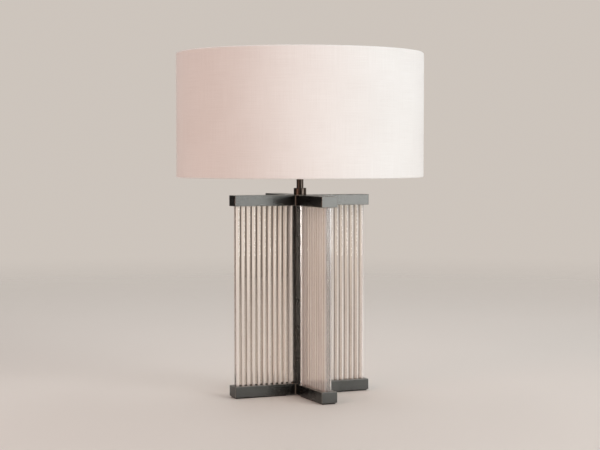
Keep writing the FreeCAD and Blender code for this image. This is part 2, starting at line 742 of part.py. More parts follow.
# Metal cap and shell round an insulating liner, the core with the switch, and the screw shell.
def socket():
    cap = newBody("socket_cap", "saddle_top")
    spin(cap, [("pipe_radius", "0"), ("cap_neck_radius", "0"), ("cap_neck_radius", "cap_neck_height"),
               ("cap_inner", "cap_neck_height"), ("cap_radius", "cap_bell"), ("cap_radius", "cap_height"),
               ("cap_inner", "cap_height"), ("cap_inner", "cap_bell"), ("pipe_radius", "cap_bell")],
         {3: ("socket_wall", "left")})

    for label, inner, outer, height in (
        ("socket_shell", "shell_inner", "shell_outer", "shell_height"),
        ("socket_liner", "liner_inner", "liner_outer", "shell_height - liner_wall"),
    ):
        tube = ring(label, inner, outer, height, "shell_floor")
        hole = drawCircle(newSketch(tube, "XZ_Plane"), "shaft_radius + shaft_hole_clear", "0",
                          "shaft_level - shell_floor")
        cut(tube, hole, "cap_radius", reverse=True)

    core = newBody("socket_core")
    spin(core, [("0", "core_floor"), ("core_waist", "core_floor"), ("core_waist", "shell_floor"),
                ("thread_outer", "shell_floor"), ("thread_outer", "core_top"), ("0", "core_top")])
    seat = newSketch(core, "XZ_Plane", "shaft_seat - thrust_gap")
    cut(core, drawCircle(seat, "shaft_radius + running_fit", "0", "shaft_level"), "cap_radius",
        reverse=True)
    terminals = []
    for sign, first in (("", "core_waist - terminal_shank"), ("-", "-core_waist")):
        tapped = newSketch(core, "YZ_Plane", first)
        cut(core, drawCircle(tapped, "terminal_shank_radius", "0", "terminal_level"), "terminal_shank",
            reverse=True)
        shank = rod("terminal_shank", "terminal_shank_radius", "terminal_shank", first, "0",
                    "terminal_level", lying=True)
        head_start = "core_waist" if sign == "" else "-core_waist - terminal_head"
        head = rod("terminal_head", "terminal_head_radius", "terminal_head", head_start, "0",
                   "terminal_level", lying=True)
        terminals.append(combine("Part::Fuse", "terminal_screw", shank, head))
    group("socket_terminals", terminals)

    ring("socket_screw_shell", "thread_inner", "thread_outer", "thread_height", "core_top")
    contact = newBody("socket_contact", "core_top")
    pad(contact, drawCircle(newSketch(contact), "contact_radius"), "contact_thick")


# The switch's shaft and knob, on an axis that points to the front.
def turnSwitch():
    shaft = newBody("switch_shaft", "shaft_level", -90)
    spin(shaft, [("shaft_seat", "0"), ("shaft_end", "0"), ("shaft_end", "shaft_radius"),
                 ("shaft_seat", "shaft_radius")], about="H_Axis")
    knob = newBody("switch_knob", "shaft_level", -90)
    spin(knob, [("knob_floor", "shaft_radius"), ("shaft_end", "shaft_radius"), ("shaft_end", "0"),
                ("knob_top", "0"), ("knob_top", "knob_radius - knob_round"),
                ("knob_top - knob_round", "knob_radius"), ("knob_floor", "knob_radius")],
         {4: ("knob_round", "left")}, about="H_Axis")


def bulb():
    ring("bulb_cap", "bulb_cap_inner", "bulb_cap_radius", "bulb_cap_height", "bulb_cap_floor")
    insulator = newBody("bulb_insulator", "insulator_floor")
    spin(insulator, [("0", "0"), ("bulb_tip_radius", "0"), ("bulb_cap_radius", "insulator_height"),
                     ("0", "insulator_height")])
    contact = newBody("bulb_contact", "bulb_floor")
    pad(contact, drawCircle(newSketch(contact), "bulb_tip_radius"), "bulb_tip_thick")

    # the globe's arc runs smoothly into the flare's, and the inner wall follows at one thickness
    envelope = newBody("bulb_envelope")
    flare_x = "(bulb_neck_radius + bulb_flare)"
    foot = "bulb_cap_top - bulb_seat"
    spin(envelope, [("0", foot), ("bulb_cap_inner", foot), ("bulb_cap_inner", "bulb_cap_top"),
                    ("bulb_neck_radius", "bulb_cap_top"), ("bulb_neck_radius", "bulb_flare_z"),
                    (f"bulb_meet * {flare_x}", "bulb_centre - bulb_meet * bulb_drop"),
                    ("0", "bulb_centre + bulb_radius"), ("0", "bulb_centre + bulb_radius - bulb_wall"),
                    (f"bulb_meet_inside * {flare_x}", "bulb_centre - bulb_meet_inside * bulb_drop"),
                    ("bulb_neck_radius - bulb_wall", "bulb_flare_z"),
                    ("bulb_cap_inner - bulb_wall", "bulb_cap_top"),
                    ("bulb_cap_inner - bulb_wall", f"{foot} + bulb_wall"), ("0", f"{foot} + bulb_wall")],
         {4: ("bulb_flare", "right"), 5: ("bulb_radius", "left"),
          7: ("bulb_radius - bulb_wall", "right"), 8: ("bulb_flare + bulb_wall", "left")})


# The cover rolls over a wire ring at each rim and turns back down inside it.
def shadeCover():
    body = newBody("shade_cover")
    out, turned_out, turned_in = "ring_radius - roll", "roll", "roll_inner"
    back = "ring_radius - roll_inner"
    wall = "shade_radius - cover_thick"
    top_hem, low_hem = "shade_top - hem_depth", "shade_floor + hem_depth"
    spin(body, [("shade_radius", "ring_top"), ("ring_radius", "shade_top"), (out, "ring_top"),
                (out, top_hem), (back, top_hem), (back, "ring_top"),
                ("ring_radius", "ring_top + roll_inner"), (wall, "ring_top"), (wall, "ring_low"),
                ("ring_radius", "ring_low - roll_inner"), (back, "ring_low"), (back, low_hem),
                (out, low_hem), (out, "ring_low"), ("ring_radius", "shade_floor"),
                ("shade_radius", "ring_low")],
         {0: (turned_out, "left"), 1: (turned_out, "left"), 5: (turned_in, "right"),
          6: (turned_in, "right"), 8: (turned_in, "right"), 9: (turned_in, "right"),
          13: (turned_out, "left"), 14: (turned_out, "left")})
    ring("shade_backing", "shade_radius - cover_thick - backing_thick", wall, "ring_top - ring_low",
         "ring_low")


def shadeRing(label, level):
    torus = doc.addObject("Part::Torus", label)
    torus.setExpression("Radius1", bound("ring_radius"))
    torus.setExpression("Radius2", bound("ring_wire"))
    torus.setExpression("Placement.Base.z", bound(level))
    keep(label, torus)


# Hub washer and equal arms that run out level and turn up into the top ring.
def shadeSpider():
    body = newBody("shade_spider", turn=90)
    hub = drawCircle(newSketch(body, lift="hub_floor"), "hub_radius")
    pad(body, drawCircle(hub, "stud_radius + hub_clear"), "hub_thick")
    route = drawOutline(newSketch(body, "XZ_Plane"),
                        [("arm_start", "arm_level"), ("ring_radius - arm_bend", "arm_level"),
                         ("ring_radius", "arm_level + arm_bend"), ("ring_radius", "ring_top")],
                        {1: ("arm_bend", "left")}, closed=False)
    section = drawCircle(newSketch(body, "YZ_Plane", "arm_start"), "arm_wire", "0", "arm_level")
    doc.recompute()
    arm = body.newObject("PartDesign::AdditivePipe", "arm")
    arm.Profile = section
    arm.Spine = (route, ["Edge1", "Edge2", "Edge3"])
    doc.recompute()
    pattern = body.newObject("PartDesign::PolarPattern", "arms")
    pattern.Originals = [arm]
    upright_axis = next(item for item in body.Origin.OriginFeatures if item.Role == "Z_Axis")
    pattern.Axis = (upright_axis, [""])
    pattern.Angle = 360
    pattern.setExpression("Occurrences", bound("arm_count"))
    body.Tip = pattern
    doc.recompute()


def checkAndExport():
    doc.recompute()
    for item in doc.Objects:
        if "Invalid" in item.State or "Error" in item.State:
            raise RuntimeError(f"{item.Label} failed: {item.State}")
    for label, item in nodes.items():
        if item.Shape.isNull() or not item.Shape.isValid():
            raise RuntimeError(f"{label} has no valid shape")
    os.makedirs("parts", exist_ok=True)
    for label, item in nodes.items():
        item.Shape.exportStep(f"parts/{label}.step")
        print(f"{label}: {len(item.Shape.Solids)} solid(s), {item.Shape.Volume:.1f} mm3")


fillSheet()
baseCross()
baseCover()
for side, turn in arms.items():
    feltPad(side, turn)
cordBushing()
post()
clampingPipe()
for side, turn in arms.items():
    glassPanel(side, turn)
cushions("glass_cushions_lower", "glass_floor - cushion_thick")
cushions("glass_cushions_upper", "glass_top")
topCross()
neck()
harpSaddle()
harpLoop()
harpFerrule("left", "-")
harpFerrule("right", "")
harpTop()
socket()
turnSwitch()
bulb()
shadeCover()
shadeRing("shade_top_ring", "ring_top")
shadeRing("shade_bottom_ring", "ring_low")
shadeSpider()
finial()
checkAndExport()
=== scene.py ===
import math
import bpy
import bmesh
from mathutils import Matrix, Vector, noise


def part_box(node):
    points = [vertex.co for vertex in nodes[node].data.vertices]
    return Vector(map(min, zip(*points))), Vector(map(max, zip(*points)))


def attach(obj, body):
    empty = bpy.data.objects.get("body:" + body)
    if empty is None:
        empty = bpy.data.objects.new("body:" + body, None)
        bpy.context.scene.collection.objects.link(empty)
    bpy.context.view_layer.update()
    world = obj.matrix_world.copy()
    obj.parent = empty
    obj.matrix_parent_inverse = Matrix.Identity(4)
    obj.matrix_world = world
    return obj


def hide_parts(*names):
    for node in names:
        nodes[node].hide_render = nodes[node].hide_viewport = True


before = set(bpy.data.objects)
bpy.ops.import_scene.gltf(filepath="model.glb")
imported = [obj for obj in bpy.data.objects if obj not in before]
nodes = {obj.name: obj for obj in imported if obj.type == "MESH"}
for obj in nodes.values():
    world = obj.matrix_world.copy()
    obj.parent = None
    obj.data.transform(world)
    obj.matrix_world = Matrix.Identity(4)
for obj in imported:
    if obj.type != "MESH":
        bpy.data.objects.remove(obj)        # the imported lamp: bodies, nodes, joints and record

scene = bpy.context.scene
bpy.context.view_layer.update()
print("frame loaded,", len(nodes), "CAD nodes")


def addNode(tree, kind, settings=None, inputs=None):
    node = tree.nodes.new(kind)
    for name, value in (settings or {}).items():
        setattr(node, name, value)
    for name, value in (inputs or {}).items():
        node.inputs[name].default_value = value
    return node


def startMaterial(name, look):
    material = bpy.data.materials.new(name)
    material.use_nodes = True
    shader = material.node_tree.nodes["Principled BSDF"]
    for socket, value in look.items():
        shader.inputs[socket].default_value = value
    return material, material.node_tree, shader


def placeOn(tree, scale, turn=(0, 0, 0), uvName=None):
    if uvName:
        source = addNode(tree, "ShaderNodeUVMap", {"uv_map": uvName}).outputs["UV"]
    else:
        source = addNode(tree, "ShaderNodeTexCoord").outputs["Object"]
    mapping = addNode(tree, "ShaderNodeMapping", None,
                      {"Scale": scale, "Rotation": turn})
    tree.links.new(source, mapping.inputs["Vector"])
    return mapping.outputs["Vector"]


def noiseOn(tree, scale, detail=3.0, roughness=0.5, uvName=None, distortion=0.0):
    texture = addNode(tree, "ShaderNodeTexNoise", None,
                      {"Scale": 1.0, "Detail": detail, "Roughness": roughness,
                       "Distortion": distortion})
    tree.links.new(placeOn(tree, scale, uvName=uvName), texture.inputs["Vector"])
    return texture.outputs["Fac"]


def tint(tree, factor, dark, light, low=0.3, high=0.7):
    ramp = addNode(tree, "ShaderNodeValToRGB")
    ramp.color_ramp.elements[0].position = low
    ramp.color_ramp.elements[0].color = (*dark, 1)
    ramp.color_ramp.elements[1].position = high
    ramp.color_ramp.elements[1].color = (*light, 1)
    tree.links.new(factor, ramp.inputs["Fac"])
    return ramp.outputs["Color"]


def spread(tree, factor, low, high, fromLow=0.3, fromHigh=0.7):
    stretch = addNode(tree, "ShaderNodeMapRange", None,
                      {"From Min": fromLow, "From Max": fromHigh, "To Min": low, "To Max": high})
    tree.links.new(factor, stretch.inputs["Value"])
    return stretch.outputs["Result"]


def combine(tree, operation, first, second):
    node = addNode(tree, "ShaderNodeMath", {"operation": operation})
    for socket, value in zip(node.inputs, (first, second)):
        if isinstance(value, (int, float)):
            socket.default_value = value
        else:
            tree.links.new(value, socket)
    return node.outputs["Value"]


def blendColours(tree, factor, first, second, kind="MIX"):
    mix = addNode(tree, "ShaderNodeMix", {"data_type": "RGBA", "blend_type": kind})
    for index, value in ((0, factor), (6, first), (7, second)):      # 6 and 7 are the colours
        if isinstance(value, (int, float)):
            mix.inputs[index].default_value = value
        elif isinstance(value, tuple):
            mix.inputs[index].default_value = (*value, 1)
        else:
            tree.links.new(value, mix.inputs[index])
    return mix.outputs[2]


def raiseBump(tree, shader, height, distance, strength=1.0, under=None):
    bump = addNode(tree, "ShaderNodeBump", None, {"Distance": distance, "Strength": strength})
    tree.links.new(height, bump.inputs["Height"])
    if under is not None:
        tree.links.new(under, bump.inputs["Normal"])
    tree.links.new(bump.outputs["Normal"], shader.inputs["Normal"])
    return bump.outputs["Normal"]


def dress(label, material):
    mesh = nodes[label].data
    mesh.materials.clear()
    mesh.materials.append(material)


# 1 on the rounded edges of square work, 0 on its flat faces
def roundedEdge(tree):
    split = addNode(tree, "ShaderNodeSeparateXYZ")
    facing = addNode(tree, "ShaderNodeNewGeometry").outputs["Normal"]
    tree.links.new(facing, split.inputs["Vector"])
    sides = [combine(tree, "ABSOLUTE", split.outputs[name], 0.0) for name in "XYZ"]
    flat = combine(tree, "MAXIMUM", combine(tree, "MAXIMUM", sides[0], sides[1]), sides[2])
    return spread(tree, flat, 1.0, 0.0, 0.86, 0.985)


def metal(name, dark, light, roughness, grain, depth=0.00003, wearAndHighlight=None):
    material, tree, shader = startMaterial(name, {"Metallic": 1.0})
    cloud = noiseOn(tree, (22, 22, 22), 4, 0.6)
    streak = noiseOn(tree, grain, 4, 0.7)
    both = combine(tree, "ADD", combine(tree, "MULTIPLY", cloud, 0.6),
                   combine(tree, "MULTIPLY", streak, 0.4))
    colour = tint(tree, both, dark, light)
    if wearAndHighlight:      # edges painted lighter, unevenly: partly wear, partly a painted highlight on the rounded edges
        patches = spread(tree, noiseOn(tree, (60, 60, 60), 3), 0.55, 1.0)
        rubAndHighlight = combine(tree, "MULTIPLY", roundedEdge(tree), patches)
        colour = blendColours(tree, rubAndHighlight, colour, wearAndHighlight)
    tree.links.new(colour, shader.inputs["Base Color"])
    tree.links.new(spread(tree, both, *roughness), shader.inputs["Roughness"])
    raiseBump(tree, shader, streak, depth, 0.5)
    return material


gunmetal = {"dark": (0.074, 0.075, 0.072), "light": (0.108, 0.109, 0.104),
            "wearAndHighlight": (0.42, 0.41, 0.38), "roughness": (0.24, 0.33), "depth": 0.00002,
            "grainAcross": (9, 1400, 1400), "grainAlong": (1400, 9, 1400), "baseShadeShare": 0.82}


# brushed along its bar; the base's copies are painted a little darker than the top, as painted
# shade
def gunmetalFinish(name, grain, shadeShare=1.0):
    dark, light, wearAndHighlight = (tuple(value * shadeShare for value in gunmetal[key])
                         for key in ("dark", "light", "wearAndHighlight"))
    return metal(name, dark, light, gunmetal["roughness"], gunmetal[grain], gunmetal["depth"], wearAndHighlight)


dress("top_bar_left_right", gunmetalFinish("satinGunmetalAcross", "grainAcross"))
dress("top_bar_front_back", gunmetalFinish("satinGunmetalAlong", "grainAlong"))
# the base cross and its cover plate get the copies painted darker, as painted shade
dress("base_bar_left_right",
      gunmetalFinish("satinGunmetalShadedBaseAcross", "grainAcross", gunmetal["baseShadeShare"]))
shadedBaseAlong = gunmetalFinish("satinGunmetalShadedBaseAlong", "grainAlong", gunmetal["baseShadeShare"])
dress("base_bar_front_back", shadedBaseAlong)
dress("base_cover_plate", shadedBaseAlong)

darkBronze = metal("darkBronze", (0.074, 0.060, 0.050), (0.112, 0.092, 0.077), (0.26, 0.36),
                   (260, 260, 1800))
postBronze = metal("postBronze", (0.032, 0.030, 0.028), (0.050, 0.047, 0.043), (0.24, 0.32),
                   (1500, 1500, 9))
dress("neck_collar", darkBronze)
dress("neck_tube", darkBronze)
dress("centre_post", postBronze)

# the fillets are lighter than the bars: partly the braze metal, partly a painted highlight along
# the inner corners
brazeWithHighlight = metal("brazeWithHighlight", (0.13, 0.13, 0.115), (0.22, 0.215, 0.19), (0.30, 0.45),
                    (180, 180, 420))
dress("base_braze_fillets", brazeWithHighlight)
dress("top_braze_fillets", brazeWithHighlight)

zincSteel = metal("zincSteel", (0.42, 0.43, 0.42), (0.60, 0.60, 0.57), (0.26, 0.42),
                  (500, 500, 500))
for label in ("base_cover_screws", "lower_washer", "lower_lock_nut", "top_washer", "top_lock_nut",
              "threaded_pipe", "post_locator_lower", "post_locator_upper"):
    dress(label, zincSteel)

harpBrass = metal("harpBrass", (0.42, 0.29, 0.13), (0.58, 0.43, 0.22), (0.20, 0.32),
                  (420, 420, 60))
for label in ("harp_saddle", "harp_loop", "harp_ferrule_left", "harp_ferrule_right",
              "harp_top_boss", "harp_stud", "finial"):
    dress(label, harpBrass)

socketBrass = metal("socketBrass", (0.50, 0.36, 0.16), (0.66, 0.50, 0.26), (0.22, 0.34),
                    (300, 300, 1600))
for label in ("socket_cap", "socket_shell", "socket_screw_shell", "socket_contact",
              "socket_terminals"):
    dress(label, socketBrass)

dress("bulb_cap", metal("bulbMetal", (0.55, 0.55, 0.55), (0.72, 0.72, 0.72), (0.24, 0.36),
                        (200, 200, 1500)))
dress("switch_shaft", metal("switchSteel", (0.48, 0.48, 0.47), (0.62, 0.62, 0.60), (0.16, 0.28),
                            (900, 60, 900)))
dress("bulb_contact", metal("solder", (0.42, 0.43, 0.45), (0.58, 0.59, 0.61), (0.30, 0.50),
                            (900, 900, 900), 0.00008))


def mattPlastic(name, dark, light, roughness, grain, depth, coat=0.0):
    material, tree, shader = startMaterial(name, {"Coat Weight": coat, "Coat Roughness": 0.25})
    cloud = noiseOn(tree, (60, 60, 60), 4, 0.6)
    pores = noiseOn(tree, grain, 2, 0.5)
    tree.links.new(tint(tree, cloud, dark, light), shader.inputs["Base Color"])
    tree.links.new(spread(tree, cloud, *roughness), shader.inputs["Roughness"])
    raiseBump(tree, shader, pores, depth, 0.6)
    return material


dress("cord_bushing", mattPlastic("blackBushing", (0.020, 0.020, 0.020), (0.038, 0.037, 0.036),
                                  (0.45, 0.6), (1500, 1500, 1500), 0.00006))
dress("switch_knob", mattPlastic("blackResin", (0.012, 0.011, 0.011), (0.024, 0.022, 0.021),
                                 (0.22, 0.34), (1200, 1200, 1200), 0.00003, 0.3))
dress("socket_core", mattPlastic("blackPhenolic", (0.015, 0.012, 0.010), (0.034, 0.026, 0.022),
                                 (0.35, 0.5), (1600, 1600, 1600), 0.00005))
dress("bulb_insulator", mattPlastic("blackGlass", (0.010, 0.010, 0.013), (0.022, 0.022, 0.028),
                                    (0.06, 0.14), (500, 500, 500), 0.00004, 0.4))
dress("socket_liner", mattPlastic("socketCard", (0.40, 0.30, 0.18), (0.56, 0.44, 0.29),
                                  (0.7, 0.85), (700, 700, 60), 0.00010))
dress("shade_backing", mattPlastic("whiteBacking", (0.835, 0.825, 0.80), (0.86, 0.85, 0.83),
                                   (0.42, 0.50), (900, 900, 900), 0.00004))
powderCoat = mattPlastic("whitePowderCoat", (0.74, 0.73, 0.70), (0.83, 0.82, 0.79),
                         (0.34, 0.48), (1400, 1400, 1400), 0.00010)
for label in ("shade_top_ring", "shade_bottom_ring", "shade_spider"):
    dress(label, powderCoat)


def corkFinish():
    material, tree, shader = startMaterial("pressedCork", {"Roughness": 0.85})
    grains = addNode(tree, "ShaderNodeTexVoronoi", None, {"Scale": 1.0, "Randomness": 1.0})
    tree.links.new(placeOn(tree, (620, 620, 620)), grains.inputs["Vector"])
    fleck = tint(tree, grains.outputs["Distance"], (0.34, 0.20, 0.10), (0.56, 0.38, 0.22),
                 0.05, 0.6)
    dust = noiseOn(tree, (1800, 1800, 1800), 3, 0.6)
    tree.links.new(blendColours(tree, dust, fleck, (0.25, 0.15, 0.08)),
                   shader.inputs["Base Color"])
    raiseBump(tree, shader, grains.outputs["Distance"], 0.0002, 0.6)
    return material


cork = corkFinish()
dress("glass_cushions_lower", cork)
dress("glass_cushions_upper", cork)


def bulbGlassFinish():
    material, tree, shader = startMaterial("frostedBulbGlass", {
        "Transmission Weight": 0.12, "IOR": 1.5, "Coat Weight": 0.35, "Coat Roughness": 0.12})
    cloud = noiseOn(tree, (70, 70, 70), 4, 0.6)
    tree.links.new(tint(tree, cloud, (0.82, 0.81, 0.78), (0.90, 0.89, 0.87)),
                   shader.inputs["Base Color"])
    tree.links.new(spread(tree, cloud, 0.38, 0.5), shader.inputs["Roughness"])
    raiseBump(tree, shader, noiseOn(tree, (1600, 1600, 1600), 2), 0.00003, 0.5)
    return material


dress("bulb_envelope", bulbGlassFinish())
print("metals, plastics, cork and bulb glass on the CAD nodes")


def keepPiece(name, shape, material, body, replaced=(), smoothBelow=40):
    mesh = bpy.data.meshes.new(name)
    shape.to_mesh(mesh)
    shape.free()
    mesh.materials.append(material)
    mesh.polygons.foreach_set("use_smooth", [True] * len(mesh.polygons))
    mesh.set_sharp_from_angle(angle=math.radians(smoothBelow))
    piece = bpy.data.objects.new(name, mesh)
    scene.collection.objects.link(piece)
    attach(piece, body)
    if replaced:
        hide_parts(*replaced)
    return piece


# the flutes' dark line is painted shade, their brighter side a painted highlight, and their streaks
# painted shade
flutedGlass = {"flutes": 11, "rise": 0.003, "arcSteps": 14, "corner": 0.0006, "ends": 0.15,
               "body": (0.81, 0.755, 0.70), "bright": (1.0, 0.985, 0.965),
               "paintedValleyShade": (0.040, 0.027, 0.018), "shadow": (0.80, 0.765, 0.73),
               "clearBody": 0.99, "clearPaintedHighlight": 0.58, "clearPaintedValley": 0.9,
               "endRoughness": 0.16, "pull": 0.00004, "castShadow": (0.93, 0.925, 0.915)}


def fillRamp(ramp, stops):
    while len(ramp.elements) < len(stops):
        ramp.elements.new(1.0)
    for element, (place, colour) in zip(ramp.elements, stops):
        element.position = place
        element.color = (*colour, 1)


# The map counts flutes outwards. In each flute a dark line of painted shade in the groove comes
# first, then a clear side, then a brighter and less clear one painted as a highlight; the panel's
# two ends are plain and clear.
def flutedGlassFinish():
    material, tree, shader = startMaterial("flutedGlass", {"IOR": 1.5, "Roughness": 0.0})
    split = addNode(tree, "ShaderNodeSeparateXYZ")
    flutes = addNode(tree, "ShaderNodeUVMap", {"uv_map": "flutes"}).outputs["UV"]
    tree.links.new(flutes, split.inputs["Vector"])
    across = split.outputs["X"]
    inFlute = combine(tree, "FRACT", across, 0.0)
    half = flutedGlass["flutes"] / 2
    fromMiddle = combine(tree, "ABSOLUTE", combine(tree, "SUBTRACT", across, half), 0.0)
    inner = combine(tree, "LESS_THAN", fromMiddle, half - flutedGlass["ends"])
    paintedValleyShade, body, bright = flutedGlass["paintedValleyShade"], flutedGlass["body"], flutedGlass["bright"]
    colour = addNode(tree, "ShaderNodeValToRGB")
    fillRamp(colour.color_ramp, ((0.0, paintedValleyShade), (0.055, paintedValleyShade), (0.13, body), (0.48, body),
                                 (0.54, bright), (0.955, bright), (0.975, body), (1.0, paintedValleyShade)))
    tree.links.new(inFlute, colour.inputs["Fac"])
    # uneven streaks of painted shade darken the flutes' colour
    streak = noiseOn(tree, (1.7, 0.03, 1), 3, 0.6, "flutes")
    ribs = blendColours(tree, 1.0, colour.outputs["Color"],
                        tint(tree, streak, flutedGlass["shadow"], (1.0, 1.0, 1.0)), "MULTIPLY")
    tree.links.new(blendColours(tree, inner, (1.0, 1.0, 1.0), ribs), shader.inputs["Base Color"])
    clear = addNode(tree, "ShaderNodeValToRGB")
    levels = ((0.0, "clearPaintedValley"), (0.13, "clearBody"), (0.48, "clearBody"),
              (0.55, "clearPaintedHighlight"), (0.95, "clearPaintedHighlight"), (1.0, "clearPaintedValley"))
    fillRamp(clear.color_ramp, [(place, (flutedGlass[name],) * 3) for place, name in levels])
    tree.links.new(inFlute, clear.inputs["Fac"])
    tree.links.new(clear.outputs["Color"], shader.inputs["Transmission Weight"])
    raiseBump(tree, shader, noiseOn(tree, (70, 70, 9), 1, 0.4), flutedGlass["pull"], 0.5)
    tree.links.new(spread(tree, inner, flutedGlass["endRoughness"], 0.0, 0.0, 1.0),
                   shader.inputs["Roughness"])
    # light passes through to what stands behind, so the glass throws only a faint shadow
    path = addNode(tree, "ShaderNodeLightPath")
    passing = addNode(tree, "ShaderNodeBsdfTransparent", None,
                      {"Color": (*flutedGlass["castShadow"], 1)})
    mix = addNode(tree, "ShaderNodeMixShader")
    tree.links.new(path.outputs["Is Shadow Ray"], mix.inputs["Fac"])
    tree.links.new(shader.outputs["BSDF"], mix.inputs[1])
    tree.links.new(passing.outputs["BSDF"], mix.inputs[2])
    tree.links.new(mix.outputs["Shader"], tree.nodes["Material Output"].inputs["Surface"])
    return material


def vertsOf(geometry):
    return [item for item in geometry if isinstance(item, bmesh.types.BMVert)]


# every panel is made as the right one, then turned to its own side
def flutedPanel(side, turn, material):
    low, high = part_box("glass_panel_right")
    middle, deep = (low.x + high.x) / 2, (high.y - low.y) / 2
    pitch = (high.x - low.x) / flutedGlass["flutes"]
    rise = flutedGlass["rise"]
    core = deep - rise
    radius = (pitch ** 2 / 4 + rise ** 2) / (2 * rise)
    shape = bmesh.new()
    start = shape.verts.new((low.x, -core, low.z))
    centre = Vector((low.x + pitch / 2, radius - deep, low.z))
    bmesh.ops.spin(shape, geom=[start], cent=centre, axis=(0, 0, 1),
                   angle=2 * math.asin(pitch / 2 / radius), steps=flutedGlass["arcSteps"])
    flute = shape.verts[:] + shape.edges[:]
    for step in range(1, flutedGlass["flutes"]):
        copy = bmesh.ops.duplicate(shape, geom=flute)["geom"]
        bmesh.ops.translate(shape, verts=vertsOf(copy), vec=(step * pitch, 0, 0))
    copy = bmesh.ops.duplicate(shape, geom=shape.verts[:] + shape.edges[:])["geom"]
    bmesh.ops.rotate(shape, verts=vertsOf(copy), cent=(middle, 0, 0),
                     matrix=Matrix.Rotation(math.pi, 3, "Z"))
    bmesh.ops.remove_doubles(shape, verts=shape.verts[:], dist=1e-6)
    ends = [vert for vert in shape.verts if len(vert.link_edges) == 1]
    for edgeX in (low.x, high.x):
        shape.edges.new([vert for vert in ends if abs(vert.co.x - edgeX) < 1e-5])
    bmesh.ops.contextual_create(shape, geom=shape.edges[:])
    lifted = bmesh.ops.extrude_face_region(shape, geom=shape.faces[:])["geom"]
    bmesh.ops.translate(shape, verts=vertsOf(lifted), vec=(0, 0, high.z - low.z))
    bmesh.ops.recalc_face_normals(shape, faces=shape.faces[:])
    upright = [edge for edge in shape.edges
               if abs(edge.verts[0].co.z - edge.verts[1].co.z) > 0.1
               and min(abs(edge.verts[0].co.x - low.x), abs(edge.verts[0].co.x - high.x)) < 1e-5]
    bmesh.ops.bevel(shape, geom=upright, offset=flutedGlass["corner"], offset_type="OFFSET",
                    segments=3, profile=0.5, affect="EDGES", material=-1, clamp_overlap=True)
    layer = shape.loops.layers.uv.new("flutes")      # one unit across for each flute
    for face in shape.faces:
        for loop in face.loops:
            loop[layer].uv = ((loop.vert.co.x - low.x) / pitch, loop.vert.co.z / pitch)
    bmesh.ops.rotate(shape, verts=shape.verts[:], cent=(0, 0, 0),
                     matrix=Matrix.Rotation(math.radians(turn), 3, "Z"))
    return keepPiece("glassFluted" + side.capitalize(), shape, material, "stand",
                     ("glass_panel_" + side,), 35)


glassMaterial = flutedGlassFinish()
for side, turn in {"right": 0, "back": 90, "left": 180, "front": 270}.items():
    flutedPanel(side, turn, glassMaterial)
print("four fluted glass panels")

feltPad = {"corner": 0.002, "edge": 0.0004, "fuzz": 0.00008, "fuzzScale": 300, "cuts": 28}


def feltFinish():
    material, tree, shader = startMaterial("blackFelt", {
        "Roughness": 0.95, "Sheen Weight": 0.25, "Sheen Roughness": 0.5,
        "Specular IOR Level": 0.2})
    fibres = noiseOn(tree, (2200, 2200, 2200), 5, 0.7, distortion=0.6)
    tree.links.new(tint(tree, fibres, (0.008, 0.008, 0.008), (0.034, 0.033, 0.032)),
                   shader.inputs["Base Color"])
    raiseBump(tree, shader, fibres, 0.0004, 0.8)
    return material


feltMaterial = feltFinish()
for side in ("right", "back", "left", "front"):
    low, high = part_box("felt_pad_" + side)
    shape = bmesh.new()
    bmesh.ops.create_cube(shape, size=1.0)
    bmesh.ops.scale(shape, verts=shape.verts[:], vec=high - low)
    bmesh.ops.translate(shape, verts=shape.verts[:], vec=(high + low) / 2)
    corners = [edge for edge in shape.edges
               if abs(edge.verts[0].co.z - edge.verts[1].co.z) > 1e-4]
    bmesh.ops.bevel(shape, geom=corners, offset=feltPad["corner"], segments=4, profile=0.5,
                    affect="EDGES", material=-1)
    rims = [edge for edge in shape.edges
            if abs(edge.verts[0].co.z - edge.verts[1].co.z) < 1e-6]
    bmesh.ops.bevel(shape, geom=rims, offset=feltPad["edge"], segments=2, profile=0.5,
                    affect="EDGES", material=-1)
    # cut across its length, then the edge is made a little uneven
    long = 0 if high.x - low.x > high.y - low.y else 1
    facing = [0.0, 0.0, 0.0]
    facing[long] = 1.0
    for place in range(1, feltPad["cuts"]):
        spot = [0.0, 0.0, 0.0]
        spot[long] = low[long] + (high[long] - low[long]) * place / feltPad["cuts"]
        bmesh.ops.bisect_plane(shape, geom=shape.verts[:] + shape.edges[:] + shape.faces[:],
                               plane_co=spot, plane_no=facing)
    for vert in shape.verts:
        if low.z + 1e-4 < vert.co.z < high.z - 1e-4:
            fuzz = Vector(noise.noise_vector(vert.co * feltPad["fuzzScale"]))
            vert.co += fuzz * feltPad["fuzz"]
    felt = keepPiece("felt" + side.capitalize(), shape, feltMaterial, "stand",
                     ("felt_pad_" + side,), 50)
print("felt pads")

# the seam lies on the cloth, so it is rolled a little wider and hemmed a little shorter
linenShade = {"thick": 0.0008, "roll": 0.0024, "hem": 0.0072, "around": 288, "rollSteps": 8}
linenSeam = {"wide": 0.012, "thick": 0.0005, "angle": 90.0, "wider": 0.0004, "proud": 0.0002,
             "hem": 0.0066, "steps": 6}


